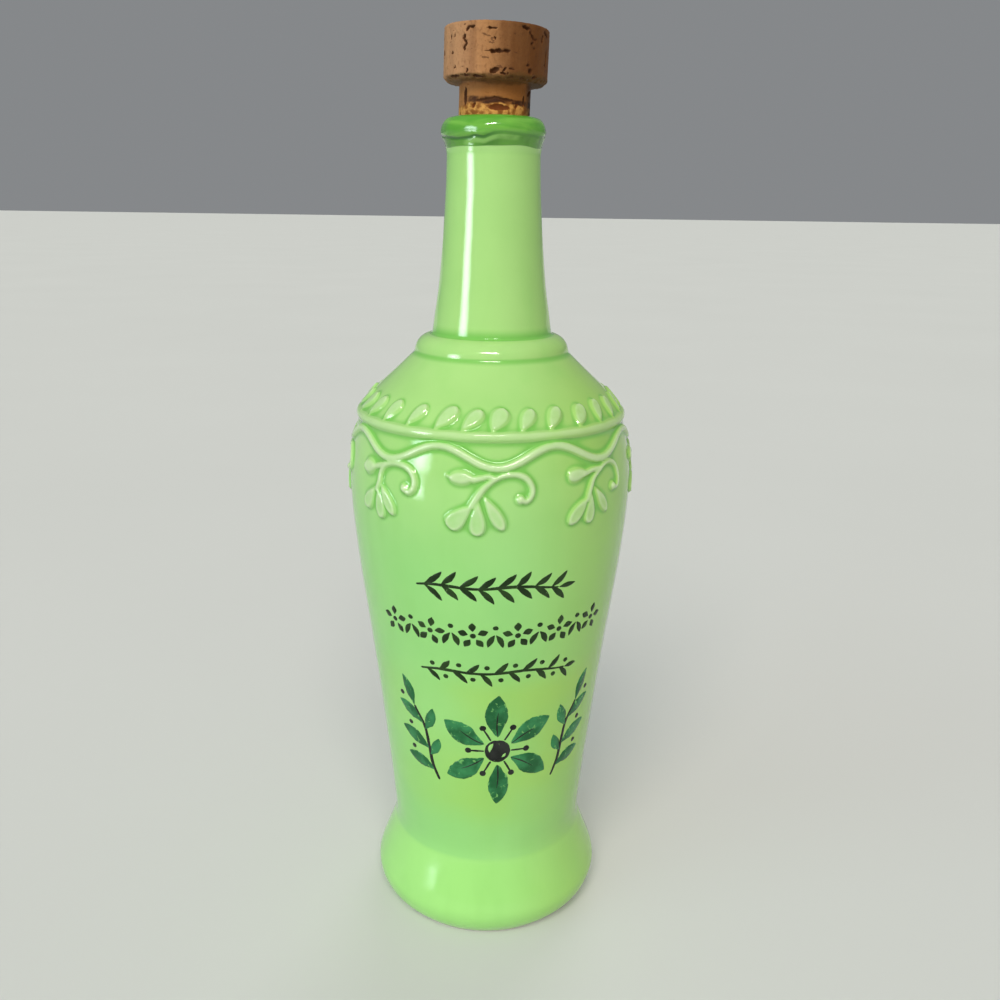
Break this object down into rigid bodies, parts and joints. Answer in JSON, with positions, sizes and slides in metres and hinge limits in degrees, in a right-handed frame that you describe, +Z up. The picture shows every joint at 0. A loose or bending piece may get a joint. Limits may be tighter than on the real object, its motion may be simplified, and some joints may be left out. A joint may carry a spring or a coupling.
{
  "type": "decorative oil bottle",
  "caption": "Glazed ceramic oil bottle with a flared foot, a leafy vine in relief round its shoulder and a cork stopper; stands upright.",
  "frame": {"origin": "centre of the foot's flat underside", "axes": "+Z up along the bottle's axis to the stopper; -Y is the decorated front; +X is to the right seen from the front"},
  "size_m": [0.0946, 0.0946, 0.2908],
  "materials": {
    "green_glaze": "gloss",
    "cork": "matte",
    "leaf_paint": "gloss",
    "black_paint": "gloss"
  },
  "bodies": {
    "root": {"bottle": "green_glaze", "cork_stopper": "cork"}
  },
  "joints": []
}
